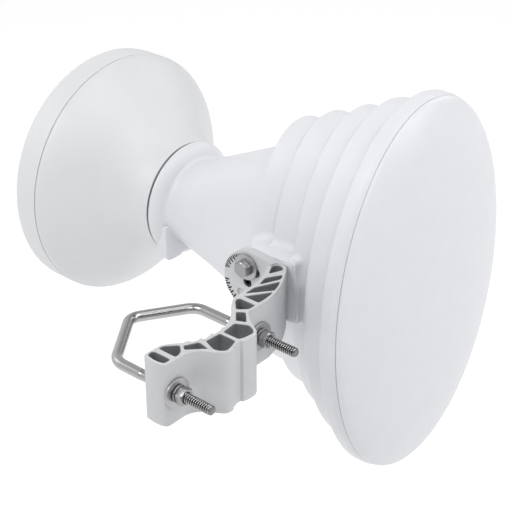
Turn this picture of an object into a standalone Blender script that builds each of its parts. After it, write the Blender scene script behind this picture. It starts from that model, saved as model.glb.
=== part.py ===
"""Mast-mounted microwave horn antenna: stepped elliptical horn, domed radome, round radio
housing locked to the rear port, and a ribbed pole clamp with a V-bolt.

Frame: metres, +X along the boresight, +Z up, -Y towards the mast clamp's free end. The origin
is the middle of the clamp's pole seat, the flat at the bottom of its V jaw, which faces -X.
"""

import math

import bmesh
import bpy
from mathutils import Matrix, Vector

MM = 0.001
GAP = 0.3 * MM

# Horn: its axis runs along X through (AXIS_Y, AXIS_Z), stations are measured from the rim.
AXIS_Y = 197 * MM
AXIS_Z = -8 * MM
RIM_X = 43 * MM
RIM_HALF_WIDTH = 111.3 * MM
RIM_HALF_HEIGHT = 168.5 * MM
RING_BACKS = (-130, -101, -70.5, -43, -15.5)
RING_HALF_WIDTHS = (65, 71.5, 83, 100, 114.5)
RING_FIRST_HALF_HEIGHT = 118
RING_HEIGHT_STEP = 13
RING_SHOULDER = 6
RING_DIP = 2.5
WALL = 3.5
THROAT_RADIUS = 30
NECK_BACK = -254
NECK_BACK_RADIUS = 40
NECK_MIDDLE = -200
NECK_MIDDLE_HALF_WIDTH = 38.5
NECK_MIDDLE_HALF_HEIGHT = 61
NECK_FRONT_HALF_WIDTH = 48
NECK_FRONT_HALF_HEIGHT = 95
NECK_LINING = 5.5
CAVITY_OVERRUN = 5
THROAT_DEPTH = 12
RIM_TAPER = 5
ELLIPSE_SIDES = 56

# Radome: a shell whose edge rolls over into a gentle dome.
RADOME_DEPTH = 24
RADOME_WALL = 3.5
GASKET_HALF = 0.6
GASKET_INSET = 0.9
GASKET_WIDTH = 2.1
SEAM_GAP = 0.3

# Rear port and radio housing, turned about the horn's axis.
COLLAR_BACK = -259.2
COLLAR_FRONT = -249
COLLAR_RADIUS = 54.2
SHOULDER_POWER = 1.12
SHOULDER_STEPS = 7
TAB_REACH = 45.5
TAB_CORNER = 8
TAB_TOP = -10
TAB_NOTCH = ((-26, 0), (-23, 2.5), (-8, 2.5))
SPIGOT_RADIUS = 36
SPIGOT_BORE = 24
SPIGOT_REACH = 6.5
SPIGOT_BORE_DEPTH = 5
PORT_RING_RADIUS = 52.8
PORT_RING_THICK = 1.8
PORT_RING_GAP = 0.6
RADIO_FLARE = (
    (-271, 55.5), (-281, 60), (-291, 68), (-300, 77), (-309, 88), (-318, 99), (-327, 108),
    (-333, 113), (-338, 116),
)
RADIO_THROAT = 53.5
RADIO_SEAM = -341.5
RADIO_RADIUS = 116.7
RADIO_RIM_BACK = -365.6
RADIO_BACK = -376
RADIO_LIP = 10
RADIO_SEAM_HALF = 0.6
PLUG_OFFSET = 62
TURNED_SIDES = 64

# Clamp: a prism of constant height, drawn in plan, with a round scale plate at its far end.
CLAMP_TOP = 27.25 * MM
CLAMP_BOTTOM = -26.25 * MM
LEG_Y = 48 * MM
ROD_RADIUS = 4 * MM
ROD_HOLE_RADIUS = 4.6 * MM
PADS_X = (1 * MM, -2.8 * MM)
PLATE_FRONT_Y = 100.5 * MM
PLATE_BACK_Y = 108.5 * MM
PLATE_RADIUS = 28.2 * MM
PLATE_MIDDLE = (-57 * MM, 3.3 * MM)
PLATE_SHOULDER = (-40 * MM, 29.5 * MM)
PLATE_ROOT_X = -29 * MM
PLATE_ARC = (84, 245)
POCKET_DEPTH = 19 * MM
OVERCUT = 5 * MM
CLAMP_BORE = (-40 * MM, 15 * MM)

# Elevation pivot, and the lock bolt in its arc slot, which spans the tilt of 30 degrees each way.
PIVOT = Vector((-60 * MM, 0, 2.5 * MM))
PIVOT_PIN_RADIUS = 4 * MM
PIVOT_PIN_DEPTH = 13 * MM
PIVOT_HOLE_DEPTH = 14 * MM
PIN_SOCKET_ACROSS = 4 * MM
PIN_SOCKET_DEPTH = 4 * MM
PIN_SUNK = 0.5 * MM
LOCK_RADIUS = 14.9 * MM
LOCK_ANGLE = math.radians(90.8)
SLOT_ARC = (54.5, 124.5)
SLOT_HALF = 4.5 * MM
INDEX_PLACE = Vector((-67 * MM, 0, -9.9 * MM))
INDEX_RADIUS = 4 * MM
INDEX_DEPTH = 1.5 * MM
LUG_FACE_Y = PLATE_BACK_Y + GAP
LUG_TOP = 31.5 * MM
LUG_RIGHT_X = -12 * MM
LUG_RADIUS = 25 * MM
LUG_CORNER = 6 * MM
LUG_REACH = 40 * MM
INSERT_RADIUS = 6.5 * MM
INSERT_LENGTH = 11 * MM
INSERT_HOLE_DEPTH = 12 * MM
LOCK_SHANK_DEPTH = 10 * MM

# V-bolt and its nuts.
BOLT_ENDS_X = (37 * MM, 34.5 * MM)
BOLT_BENDS_X = (-61 * MM, -67.3 * MM)
BOLT_APEX = (-96.5 * MM, 2 * MM)
SHANK_START_X = -31 * MM
SHANK_STEP = 2 * MM
SHANK_RADIUS = 4.4 * MM
BOLT_BEND_RADIUS = 13 * MM
BOLT_BEND_STEPS = 6
HEX_ACROSS = 13 * MM
NUT_THICK = 6.5 * MM
WASHER_RADIUS = 12 * MM
WASHER_THICK = 2 * MM
LOCK_WASHER_RADIUS = 11.3 * MM
SPRING_RADIUS = 7.2 * MM
SPRING_THICK = 2 * MM
HEAD_THICK = 6.2 * MM


def clear_scene():
    for obj in list(bpy.data.objects):
        bpy.data.objects.remove(obj, do_unlink=True)


def material(name, colour, roughness, metallic=0.0):
    mat = bpy.data.materials.new(name)
    mat.use_nodes = True
    shader = mat.node_tree.nodes["Principled BSDF"]
    shader.inputs["Base Color"].default_value = (*colour, 1)
    shader.inputs["Roughness"].default_value = roughness
    shader.inputs["Metallic"].default_value = metallic
    return mat


def add_object(name, bm, mat, smooth=True):
    """Turns a bmesh into a named object with faces out and round faces shaded smooth."""
    bmesh.ops.recalc_face_normals(bm, faces=bm.faces)
    mesh = bpy.data.meshes.new(name)
    bm.to_mesh(mesh)
    bm.free()
    mesh.materials.append(mat)
    if smooth:
        mesh.shade_smooth()
        mesh.set_sharp_from_angle(angle=math.radians(35))
    obj = bpy.data.objects.new(name, mesh)
    bpy.context.collection.objects.link(obj)
    return obj


def cutter_of(obj):
    obj.hide_render = True
    obj.display_type = "WIRE"
    return obj


def boolean(obj, other, operation):
    """Adds one exact Boolean modifier that takes another object."""
    cutter_of(other)
    modifier = obj.modifiers.new(operation.lower(), "BOOLEAN")
    modifier.operation = operation
    modifier.solver = "EXACT"
    modifier.object = other


def arc(centre, radius, start, end, count):
    """Points on a circular arc in a plane, from one angle to another in degrees."""
    angles = [math.radians(start + (end - start) * i / count) for i in range(count + 1)]
    return [(centre[0] + radius * math.cos(a), centre[1] + radius * math.sin(a)) for a in angles]


def prism(name, outline, low, high, mat, axis="Z"):
    """Extrudes a plane outline: (x, y) along Z, (x, z) along Y or (y, z) along X."""
    bm = bmesh.new()
    place = {
        "Z": lambda p, h: (p[0], p[1], h),
        "Y": lambda p, h: (p[0], h, p[1]),
        "X": lambda p, h: (h, p[0], p[1]),
    }[axis]
    face = bm.faces.new([bm.verts.new(place(p, low)) for p in outline])
    lifted = bmesh.ops.extrude_face_region(bm, geom=[face])["geom"]
    step = Vector(place((0, 0), high)) - Vector(place((0, 0), low))
    bmesh.ops.translate(bm, vec=step, verts=[v for v in lifted if isinstance(v, bmesh.types.BMVert)])
    return add_object(name, bm, mat)


def turned(name, profile, centre, axis, mat, sides=TURNED_SIDES):
    """Spins a closed profile of (distance along the axis, radius) about an axis."""
    axis = Vector(axis).normalized()
    across = Vector((0, 0, 1)) if abs(axis.z) < 0.5 else Vector((1, 0, 0))
    bm = bmesh.new()
    rings = []
    for along, radius in profile:
        middle = Vector(centre) + axis * along
        if radius < 1e-7:
            rings.append([bm.verts.new(middle)])
            continue
        spokes = [Matrix.Rotation(2 * math.pi * i / sides, 3, axis) @ across for i in range(sides)]
        rings.append([bm.verts.new(middle + spoke * radius) for spoke in spokes])
    for first, second in zip(rings, rings[1:] + rings[:1]):
        join_rings(bm, first, second)
    return add_object(name, bm, mat)


def join_rings(bm, first, second):
    """Joins two rings of points with faces; either may be a single point."""
    count = max(len(first), len(second))
    if count == 1:
        return
    for i in range(count):
        j = (i + 1) % count
        corners = []
        for vert in (
            first[i % len(first)],
            first[j % len(first)],
            second[j % len(second)],
            second[i % len(second)],
        ):
            if vert not in corners:
                corners.append(vert)
        bm.faces.new(corners)


def loft(name, stations, mat, closed_loop=False):
    """Skins ellipses about the horn's axis, given as (x, half width, half height) in mm."""
    bm = bmesh.new()
    rings = []
    for x, half_width, half_height in stations:
        middle = Vector((RIM_X + x * MM, AXIS_Y, AXIS_Z))
        if half_width < 1e-6:
            rings.append([bm.verts.new(middle)])
            continue
        ring = []
        for i in range(ELLIPSE_SIDES):
            turn = 2 * math.pi * i / ELLIPSE_SIDES
            offset = (0, half_width * MM * math.cos(turn), half_height * MM * math.sin(turn))
            ring.append(bm.verts.new(middle + Vector(offset)))
        rings.append(ring)
    following = rings[1:] + rings[:1] if closed_loop else rings[1:]
    for first, second in zip(rings, following):
        join_rings(bm, first, second)
    if not closed_loop:
        for ring in (rings[0], rings[-1]):
            if len(ring) > 1:
                bm.faces.new(ring)
    return add_object(name, bm, mat)


def cylinder(name, centre, axis, radius, low, high, mat, sides=24):
    profile = [(low, 0), (low, radius), (high, radius), (high, 0)]
    return turned(name, profile, centre, axis, mat, sides)


def hexagon(across_flats, start=0.0):
    corner = across_flats / math.sqrt(3)
    return [
        (corner * math.cos(start + i * math.pi / 3), corner * math.sin(start + i * math.pi / 3))
        for i in range(6)
    ]


def ring_half_height(index):
    return RING_FIRST_HALF_HEIGHT + RING_HEIGHT_STEP * index


def horn_outside():
    """Outer stations: a tapered neck, then five rings, each with a round shoulder and a dip."""
    stations = [(x, NECK_BACK_RADIUS, NECK_BACK_RADIUS) for x in (NECK_BACK, COLLAR_FRONT + 1)]
    stations.append((NECK_MIDDLE, NECK_MIDDLE_HALF_WIDTH, NECK_MIDDLE_HALF_HEIGHT))
    stations.append((RING_BACKS[0], NECK_FRONT_HALF_WIDTH, NECK_FRONT_HALF_HEIGHT))
    ends = list(RING_BACKS[1:]) + [0]
    for index, (back, end) in enumerate(zip(RING_BACKS, ends)):
        wide = RING_HALF_WIDTHS[index]
        high = ring_half_height(index)
        last = index == len(RING_BACKS) - 1
        for turn in (0, 45, 90):
            along = RING_SHOULDER * (1 - math.cos(math.radians(turn)))
            drop = RING_SHOULDER * (1 - math.sin(math.radians(turn)))
            stations.append((back + along, wide - drop, high - drop))
        if last:
            stations.append((end - RIM_TAPER, wide - 0.6, high - 0.3))
            lip = (RIM_HALF_WIDTH / MM, RIM_HALF_HEIGHT / MM)
            stations.append((end - GASKET_HALF - SEAM_GAP, *lip))
        else:
            stations.append((end - 7, wide - 0.5, high - 0.5))
            stations.append((end, wide - RING_DIP, high - RING_DIP))
    return stations


def horn_inside():
    """Inner stations: the round throat, then a smooth flare that keeps the wall's thickness."""
    stations = [(NECK_BACK - CAVITY_OVERRUN, THROAT_RADIUS, THROAT_RADIUS)]
    stations.append((NECK_BACK + THROAT_DEPTH, THROAT_RADIUS, THROAT_RADIUS))
    halves = (NECK_MIDDLE_HALF_WIDTH - NECK_LINING, NECK_MIDDLE_HALF_HEIGHT - NECK_LINING)
    stations.append((NECK_MIDDLE, *halves))
    narrow = NECK_FRONT_HALF_WIDTH - WALL
    tall = NECK_FRONT_HALF_HEIGHT - WALL
    stations.append((RING_BACKS[0], narrow, tall))
    for index, back in enumerate(RING_BACKS[1:]):
        less = RING_DIP + WALL
        stations.append((back, RING_HALF_WIDTHS[index] - less, ring_half_height(index) - less))
    lip_wide = RIM_HALF_WIDTH / MM - WALL
    lip_high = RIM_HALF_HEIGHT / MM - WALL
    stations.append((0, lip_wide, lip_high))
    stations.append((CAVITY_OVERRUN, lip_wide, lip_high))
    return stations


def rounded_lug():
    """The lug's face in (x, z): a half disc about the pivot, drawn out towards the rim."""
    right = LUG_RIGHT_X - LUG_CORNER
    level = LUG_TOP - LUG_CORNER
    points = arc((right, -level), LUG_CORNER, -90, 0, 4)
    points += arc((right, level), LUG_CORNER, 0, 90, 4)
    points += arc((PIVOT.x, PIVOT.z), LUG_RADIUS, 90, 270, 8)
    points += [(PIVOT.x + LUG_RADIUS, -LUG_TOP)]
    return points


def make_horn(mats):
    horn = loft("horn_body", horn_outside(), mats["shell"])
    lug_inner_y = AXIS_Y - LUG_REACH
    lug = prism("lug_block", rounded_lug(), LUG_FACE_Y, lug_inner_y, mats["shell"], "Y")
    boolean(horn, lug, "UNION")
    boolean(horn, loft("horn_cavity", horn_inside(), mats["shell"]), "DIFFERENCE")
    pin_hole = cylinder(
        "pin_hole", (PIVOT.x, 0, PIVOT.z), (0, 1, 0), PIVOT_PIN_RADIUS + GAP,
        LUG_FACE_Y - OVERCUT, LUG_FACE_Y + PIVOT_HOLE_DEPTH, mats["shell"],
    )
    boolean(horn, pin_hole, "DIFFERENCE")
    bolt = lock_point()
    insert_hole = cylinder(
        "insert_hole", (bolt.x, 0, bolt.z), (0, 1, 0), INSERT_RADIUS + GAP,
        LUG_FACE_Y - OVERCUT, LUG_FACE_Y + INSERT_HOLE_DEPTH, mats["shell"],
    )
    boolean(horn, insert_hole, "DIFFERENCE")
    sleeve = [
        (GAP, ROD_RADIUS + GAP), (GAP, INSERT_RADIUS),
        (INSERT_LENGTH, INSERT_RADIUS), (INSERT_LENGTH, ROD_RADIUS + GAP),
    ]
    turned("lug_insert", sleeve, (bolt.x, LUG_FACE_Y, bolt.z), (0, 1, 0), mats["brass"], 24)


def dome_stations(depth, half_width, half_height, start, rings):
    """Stations of a dome from its edge to its tip: x = depth (1 - s^2.2)^0.6 at scale s."""
    stations = []
    for i in range(rings + 1):
        scale = math.cos(math.pi / 2 * (i / rings) ** 0.8)
        scale = 0 if i == rings else scale
        along = depth * (1 - scale**2.2) ** 0.6
        stations.append((start + along, half_width * scale, half_height * scale))
    return stations


def make_radome(mats):
    start = GASKET_HALF + SEAM_GAP
    wide = RIM_HALF_WIDTH / MM
    high = RIM_HALF_HEIGHT / MM
    outer = dome_stations(RADOME_DEPTH, wide, high, start, 9)
    inner = dome_stations(
        RADOME_DEPTH - RADOME_WALL, wide - RADOME_WALL, high - RADOME_WALL, start, 7
    )
    loft("radome", outer + inner[::-1], mats["radome"], closed_loop=True)
    near = GASKET_INSET
    deep = GASKET_INSET + GASKET_WIDTH
    gasket = [
        (-GASKET_HALF, wide - near, high - near), (GASKET_HALF, wide - near, high - near),
        (GASKET_HALF, wide - deep, high - deep), (-GASKET_HALF, wide - deep, high - deep),
    ]
    loft("radome_gasket", gasket, mats["rubber"], closed_loop=True)


def on_axis(x):
    """The point on the horn's axis at a station in mm from the rim."""
    return (RIM_X + x * MM, AXIS_Y, AXIS_Z)


def turned_on_axis(name, profile, mat, sides=TURNED_SIDES):
    scaled = [(x * MM, radius * MM) for x, radius in profile]
    return turned(name, scaled, on_axis(0), (1, 0, 0), mat, sides)


def make_port(mats):
    bore = SPIGOT_RADIUS + 1
    neck_gap = NECK_BACK_RADIUS + SEAM_GAP
    step = NECK_BACK - SEAM_GAP
    collar = collar_shoulder(0) + [(COLLAR_FRONT, neck_gap), (step, neck_gap), (step, bore)]
    turned_on_axis("port_collar", [(COLLAR_BACK, bore)] + collar, mats["shell"])
    low = -TAB_REACH + TAB_CORNER
    outline = [(-TAB_REACH, TAB_TOP)] + arc((low, low), TAB_CORNER, 180, 270, 4)
    outline += [(y, z - TAB_REACH) for y, z in TAB_NOTCH] + [(TAB_NOTCH[-1][0], TAB_TOP)]
    outline = [(AXIS_Y + y * MM, AXIS_Z + z * MM) for y, z in outline]
    back = RIM_X + (COLLAR_BACK + 1) * MM
    front = RIM_X + (COLLAR_FRONT + 3) * MM
    tab = prism("locking_tab", outline, back, front, mats["shell"], "X")
    behind = COLLAR_BACK - CAVITY_OVERRUN
    beyond = COLLAR_FRONT + 2 * CAVITY_OVERRUN
    seat = [(behind, 0), (behind, COLLAR_RADIUS + SEAM_GAP)] + collar_shoulder(SEAM_GAP)
    seat += [(COLLAR_FRONT + 1.5, neck_gap + 1.5), (beyond, neck_gap + CAVITY_OVERRUN)]
    seat.append((beyond, 0))
    boolean(tab, turned_on_axis("tab_seat", seat, mats["shell"]), "DIFFERENCE")


def collar_shoulder(offset):
    """The collar's outside in (x, r): a steep round-off from its rear edge down to the neck."""
    wide = COLLAR_RADIUS - NECK_BACK_RADIUS - 1
    deep = COLLAR_FRONT - COLLAR_BACK
    points = []
    for i in range(SHOULDER_STEPS + 1):
        turn = math.pi / 2 * i / SHOULDER_STEPS
        along = deep * math.sin(turn) ** SHOULDER_POWER
        drop = wide * (1 - math.cos(turn) ** SHOULDER_POWER)
        points.append((COLLAR_BACK + along + offset, COLLAR_RADIUS - drop + offset))
    return points


def make_radio(mats):
    ring_front = COLLAR_BACK - PORT_RING_GAP
    ring_back = ring_front - PORT_RING_THICK
    ring_bore = SPIGOT_RADIUS + SEAM_GAP
    ring = [
        (ring_back, ring_bore), (ring_back, PORT_RING_RADIUS),
        (ring_front, PORT_RING_RADIUS), (ring_front, ring_bore),
    ]
    turned_on_axis("port_ring", ring, mats["rubber"])
    flare_front = ring_back - SEAM_GAP
    spigot_end = flare_front + SPIGOT_REACH
    spigot_floor = spigot_end - SPIGOT_BORE_DEPTH
    seam_front = RADIO_SEAM + RADIO_SEAM_HALF
    seam_back = RADIO_SEAM - RADIO_SEAM_HALF
    shell = [
        (spigot_floor, 0), (spigot_floor, SPIGOT_BORE), (spigot_end, SPIGOT_BORE),
        (spigot_end, SPIGOT_RADIUS), (flare_front, SPIGOT_RADIUS), (flare_front, RADIO_THROAT),
        *RADIO_FLARE, (seam_front, RADIO_RADIUS), (seam_front, 0),
    ]
    turned_on_axis("radio_front_shell", shell, mats["shell"])
    lip = RADIO_RADIUS - RADIO_LIP
    edge = RADIO_RADIUS - GASKET_INSET
    half = RADIO_SEAM_HALF - SEAM_GAP
    gasket = [
        (RADIO_SEAM - half, lip), (RADIO_SEAM - half, edge),
        (RADIO_SEAM + half, edge), (RADIO_SEAM + half, lip),
    ]
    turned_on_axis("radio_gasket", gasket, mats["rubber"])
    cover = [
        (RADIO_BACK, 0), (RADIO_BACK, RADIO_RADIUS - 14), (RADIO_BACK + 3, RADIO_RADIUS - 6),
        (RADIO_RIM_BACK, RADIO_RADIUS), (seam_back, RADIO_RADIUS), (seam_back, 0),
    ]
    turned_on_axis("radio_back_cover", cover, mats["shell"])
    gland = ((0, 0), (0, 10), (-10, 10), (-16, 7.5), (-16, 4), (-6, 4), (-6, 0))
    vent = ((0, 0), (0, 7), (-2, 7), (-3, 6), (-3, 0))
    plug_x = RIM_X + (RADIO_BACK - SEAM_GAP) * MM
    for name, profile, height in (
        ("cable_gland", gland, -PLUG_OFFSET), ("vent_plug", vent, PLUG_OFFSET),
    ):
        scaled = [(x * MM, radius * MM) for x, radius in profile]
        place = (plug_x, AXIS_Y, AXIS_Z + height * MM)
        turned(name, scaled, place, (1, 0, 0), mats["dark"], 24)


def lock_point():
    """Where the lock bolt's axis meets the XZ plane, at rest."""
    offset = Vector((math.cos(LOCK_ANGLE), 0, math.sin(LOCK_ANGLE))) * LOCK_RADIUS
    return PIVOT + offset


def clamp_outline():
    """The clamp's plan in mm, from the seat round the free end and back along the arm."""
    back = PLATE_BACK_Y / MM
    face = PLATE_FRONT_Y / MM
    pad_1, pad_2 = (x / MM for x in PADS_X)
    seat_left = [
        (0, -9), (-1.6, -10.5), (-2.6, -13), (-4.9, -14.6), (-4.6, -18), (-6.6, -21),
        (-9.9, -23.6), (-10.2, -27.5), (-15.2, -32.2), (-20.6, -40),
    ]
    free_end = [
        (-20.9, -56), (-19.3, -58.4), (-11, -59.6), (-4, -59), (-0.4, -57.6), (pad_1, -55.5),
        (pad_1, -37), (2.6, -32.3), (6.5, -27), (13, -22.8), (19.3, -19.3), (22.4, -16.5),
    ]
    block = [
        (23, -13), (22.6, -9.5), (21, -8.2), (20.6, -5), (19.9, -3), (19.9, 1), (21.3, 3),
        (22.4, 8), (22.6, 14.5), (20.8, 18.8), (15.4, 22.8),
    ]
    arm_out = [
        (9, 26.3), (4, 29.8), (0.4, 33), (pad_2 + 0.6, 34.6), (pad_2, 35.6), (pad_2, 60.5),
        (-4.2, 66), (-7, 76.5), (-11.5, 86.5), (-17.5, 96), (-23, 103.5), (-27, back),
    ]
    arm_in = [
        (-44, back), (-44, face), (-38.6, face), (-35.8, 97), (-32, 90), (-28.3, 79.5),
        (-26.2, 68), (-25.3, 58), (-25.3, 46.5), (-24, 42.3), (-18.9, 35),
    ]
    seat_right = [
        (-13.6, 28.6), (-10.2, 25), (-7.4, 20.8), (-5, 16.2), (-3.4, 11.5), (-1.6, 9.4), (0, 9),
    ]
    return seat_left + free_end + block + arm_out + arm_in + seat_right


def pocket_outlines():
    """The cells between the clamp's ribs, in plan, in mm."""
    return (
        [
            (-19, -55), (-19.5, -50), (-17.5, -48.8), (-3.5, -48.8), (-2, -49.5), (-2, -55),
            (-5, -56.3), (-11, -56.8), (-16, -56),
        ],
        [
            (-18.8, -44.2), (-18.6, -40), (-11, -31.8), (-9, -31.6), (-4, -36.5), (-2, -40.5),
            (-1.8, -43.6), (-3, -44.2),
        ],
        [
            (-7.8, -29.7), (-2.5, -19.5), (-1.2, -19), (8, -20.8), (8.3, -21.6), (5.5, -24),
            (-3, -32.8), (-4.3, -32.5),
        ],
        [
            (1.6, -14.6), (1.9, -1), (2.7, -0.3), (15.5, -0.3), (17, -1), (19.5, -9.5),
            (20.3, -13.5), (19.5, -15.5), (16, -18.2), (13, -19), (10.5, -18.6),
        ],
        [
            (1.8, 3), (1.2, 12), (1, 17), (2, 18.3), (9.5, 22), (11.5, 21.8), (16, 19.8),
            (18.6, 17.2), (19.4, 14.5), (18.6, 8), (17.4, 4), (16, 2.8), (3, 2.8),
        ],
        [
            (-1.6, 20.6), (-9.2, 29.4), (-9.3, 30.6), (-5.2, 33.6), (-3.6, 33.4), (-1.2, 30.6),
            (5, 25), (5.2, 23.9),
        ],
        [
            (-12.8, 33.4), (-20.6, 41.4), (-21.6, 43.4), (-21.4, 45.8), (-20, 46.9), (-6, 46.9),
            (-5, 46), (-5, 39.8), (-6.3, 38), (-11.2, 33.6),
        ],
        [
            (-21, 51.2), (-19.8, 52.2), (-8.3, 69.5), (-7.4, 70), (-6.3, 66), (-5.5, 58),
            (-5.5, 51.9), (-6.2, 51.2),
        ],
        [
            (-22.4, 55), (-22.9, 57), (-22.9, 66.5), (-22.2, 68.2), (-14.2, 85.3), (-13, 85.8),
            (-10.3, 79.5), (-8.4, 73.5), (-8.9, 72),
        ],
        [
            (-23.2, 73.2), (-24.6, 77), (-26, 82.5), (-25.6, 84.6), (-19.4, 95.2), (-18, 95),
            (-15.9, 90.3), (-15.9, 88.4), (-22.3, 73.6),
        ],
        [
            (-28.3, 90.2), (-31, 94.8), (-33.9, 100.3), (-33.9, 102.6), (-32.6, 104.6),
            (-30, 105.3), (-27.6, 104), (-25.2, 101.6), (-25, 100.4), (-27, 94),
        ],
    )


def plate_outline():
    """The scale plate in (x, z): a disc round the pivot that runs on into the arm."""
    points = [(PLATE_SHOULDER[0], CLAMP_BOTTOM), (PLATE_ROOT_X, CLAMP_TOP), PLATE_SHOULDER]
    return points + arc(PLATE_MIDDLE, PLATE_RADIUS, *PLATE_ARC, 18)


def arc_slot(name, mat):
    """A cutter for the lock bolt's slot: two arcs about the pivot, closed by half circles."""
    start, end = SLOT_ARC
    centre = (PIVOT.x, PIVOT.z)
    points = arc(centre, LOCK_RADIUS + SLOT_HALF, start, end, 8)
    tip = arc(centre, LOCK_RADIUS, end, end, 1)[0]
    points += arc(tip, SLOT_HALF, end, end + 180, 6)[1:-1]
    points += arc(centre, LOCK_RADIUS - SLOT_HALF, end, start, 8)
    tip = arc(centre, LOCK_RADIUS, start, start, 1)[0]
    points += arc(tip, SLOT_HALF, start + 180, start + 360, 6)[1:-1]
    return prism(name, points, PLATE_FRONT_Y - OVERCUT, PLATE_BACK_Y + OVERCUT, mat, "Y")


def make_clamp(mats):
    outline = [(x * MM, y * MM) for x, y in clamp_outline()]
    clamp = prism("clamp_bracket", outline, CLAMP_BOTTOM, CLAMP_TOP, mats["casting"])
    plate = prism(
        "plate_block", plate_outline(), PLATE_FRONT_Y, PLATE_BACK_Y, mats["casting"], "Y"
    )
    boolean(clamp, plate, "UNION")
    for number, cell in enumerate(pocket_outlines()):
        cell = [(x * MM, y * MM) for x, y in cell]
        for side, low, high in (
            ("top", CLAMP_TOP - POCKET_DEPTH, CLAMP_TOP + OVERCUT),
            ("bottom", CLAMP_BOTTOM - OVERCUT, CLAMP_BOTTOM + POCKET_DEPTH),
        ):
            cutter = prism(f"pocket_{number}_{side}", cell, low, high, mats["casting"])
            boolean(clamp, cutter, "DIFFERENCE")
    for number, leg_y in enumerate((-LEG_Y, LEG_Y)):
        hole = cylinder(
            f"rod_hole_{number}", (0, leg_y, 0), (1, 0, 0), ROD_HOLE_RADIUS,
            CLAMP_BORE[0], CLAMP_BORE[1], mats["casting"],
        )
        boolean(clamp, hole, "DIFFERENCE")
    boolean(clamp, arc_slot("lock_slot", mats["casting"]), "DIFFERENCE")
    low = PLATE_FRONT_Y - OVERCUT
    pin_hole = cylinder(
        "plate_pin_hole", (PIVOT.x, 0, PIVOT.z), (0, 1, 0), PIVOT_PIN_RADIUS + GAP,
        low, PLATE_BACK_Y + OVERCUT, mats["casting"],
    )
    boolean(clamp, pin_hole, "DIFFERENCE")
    index_recess = cylinder(
        "index_recess", INDEX_PLACE, (0, 1, 0), INDEX_RADIUS, low, PLATE_FRONT_Y + INDEX_DEPTH,
        mats["casting"],
    )
    boolean(clamp, index_recess, "DIFFERENCE")


def make_pivot(mats):
    start = PLATE_FRONT_Y + PIN_SUNK
    pin = cylinder(
        "pivot_pin", (PIVOT.x, 0, PIVOT.z), (0, 1, 0), PIVOT_PIN_RADIUS,
        start, LUG_FACE_Y + PIVOT_PIN_DEPTH, mats["steel"],
    )
    socket = prism(
        "pin_socket",
        [(PIVOT.x + x, PIVOT.z + z) for x, z in hexagon(PIN_SOCKET_ACROSS)],
        start - MM, start + PIN_SOCKET_DEPTH, mats["steel"], "Y",
    )
    boolean(pin, socket, "DIFFERENCE")
    bolt = lock_point()
    washer_back = PLATE_FRONT_Y - GAP
    washer_front = washer_back - WASHER_THICK
    washer = [
        (washer_front, ROD_RADIUS + GAP), (washer_front, LOCK_WASHER_RADIUS),
        (washer_back, LOCK_WASHER_RADIUS), (washer_back, ROD_RADIUS + GAP),
    ]
    turned("lock_washer", washer, (bolt.x, 0, bolt.z), (0, 1, 0), mats["steel"], 32)
    head_back = washer_front - GAP
    head = prism(
        "lock_bolt",
        [(bolt.x + x, bolt.z + z) for x, z in hexagon(HEX_ACROSS, math.pi / 6)],
        head_back - HEAD_THICK, head_back, mats["steel"], "Y",
    )
    shank = cylinder(
        "lock_shank", (bolt.x, 0, bolt.z), (0, 1, 0), ROD_RADIUS, head_back - MM,
        LUG_FACE_Y + LOCK_SHANK_DEPTH, mats["steel"],
    )
    boolean(head, shank, "UNION")


def bolt_path():
    """The V-bolt's centre line in (x, y): two legs, two bends and a blunt apex."""
    corners = [
        Vector((BOLT_ENDS_X[0], -LEG_Y)), Vector((BOLT_BENDS_X[0], -LEG_Y)), Vector(BOLT_APEX),
        Vector((BOLT_BENDS_X[1], LEG_Y)), Vector((BOLT_ENDS_X[1], LEG_Y)),
    ]
    thread_end = SHANK_START_X + SHANK_STEP
    points = [corners[0], Vector((thread_end, -LEG_Y)), Vector((SHANK_START_X, -LEG_Y))]
    for before, corner, after in zip(corners, corners[1:], corners[2:]):
        to_before = (before - corner).normalized()
        to_after = (after - corner).normalized()
        half = to_before.angle(to_after) / 2
        reach = BOLT_BEND_RADIUS / math.tan(half)
        middle = corner + (to_before + to_after).normalized() * BOLT_BEND_RADIUS / math.sin(half)
        first = (corner + to_before * reach - middle).normalized()
        second = (corner + to_after * reach - middle).normalized()
        for i in range(BOLT_BEND_STEPS + 1):
            share = i / BOLT_BEND_STEPS
            points.append(middle + first.slerp(second, share) * BOLT_BEND_RADIUS)
    points += [Vector((SHANK_START_X, LEG_Y)), Vector((thread_end, LEG_Y)), corners[-1]]
    return points


def make_v_bolt(mats):
    curve = bpy.data.curves.new("v_bolt", "CURVE")
    curve.dimensions = "3D"
    curve.bevel_depth = ROD_RADIUS
    curve.bevel_resolution = 4
    curve.use_fill_caps = True
    points = bolt_path()
    spline = curve.splines.new("POLY")
    spline.points.add(len(points) - 1)
    for target, point in zip(spline.points, points):
        target.co = (point.x, point.y, 0, 1)
        target.radius = 1 if point.x > SHANK_START_X else SHANK_RADIUS / ROD_RADIUS
    curve.materials.append(mats["steel"])
    obj = bpy.data.objects.new("v_bolt", curve)
    bpy.context.collection.objects.link(obj)


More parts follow.
